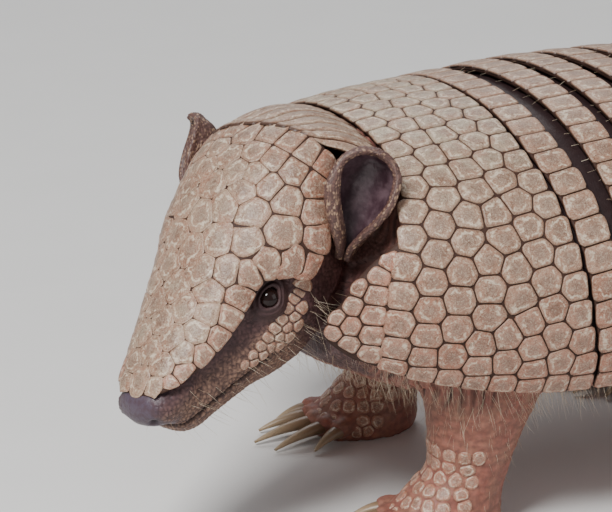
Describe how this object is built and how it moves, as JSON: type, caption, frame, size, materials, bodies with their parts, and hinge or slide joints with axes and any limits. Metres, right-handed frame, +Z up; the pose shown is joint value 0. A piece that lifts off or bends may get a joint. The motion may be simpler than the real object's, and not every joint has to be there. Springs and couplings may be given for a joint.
{
  "type": "six-banded armadillo",
  "caption": "Life-size standing six-banded armadillo with its plated head lowered and turned to its left, armour over the back and a tapering tail.",
  "frame": {"origin": "on the ground, under the middle of the animal's bounding box", "axes": "-X the way the body faces, -Y its left side, +Z up"},
  "size_m": [0.5464, 0.1892, 0.1548],
  "materials": {
    "plates": "dry horny plates, satin, tan-pink with pale rings and dark brown seams",
    "skin": "wrinkled hide, matt, dull pink to purple-brown",
    "ear_skin": "granular leathery skin, smooth and faintly glossy inside",
    "nose": "smooth moist skin, satin",
    "eyes": "wet and glossy, dark brown",
    "claws": "horn, satin, yellow-brown",
    "bristles": "stiff pale hairs"
  },
  "bodies": {
    "root": {"scapular_shield": "plates", "band_1": "plates", "band_2": "plates", "band_3": "plates", "band_4": "plates", "band_5": "plates", "band_6": "plates", "pelvic_shield": "plates", "head_shield": "plates", "nape_band": "plates", "head": "skin", "neck": "skin", "trunk": "skin", "leg_fore_left": "skin", "leg_fore_right": "skin", "leg_hind_left": "skin", "leg_hind_right": "skin", "foot_fore_left": "skin", "foot_fore_right": "skin", "foot_hind_left": "skin", "foot_hind_right": "skin", "tail_1": "skin", "tail_2": "skin", "tail_3": "skin", "ear_left": "ear_skin", "ear_right": "ear_skin", "nose": "nose", "eye_left": "eyes", "eye_right": "eyes"}
  },
  "joints": []
}
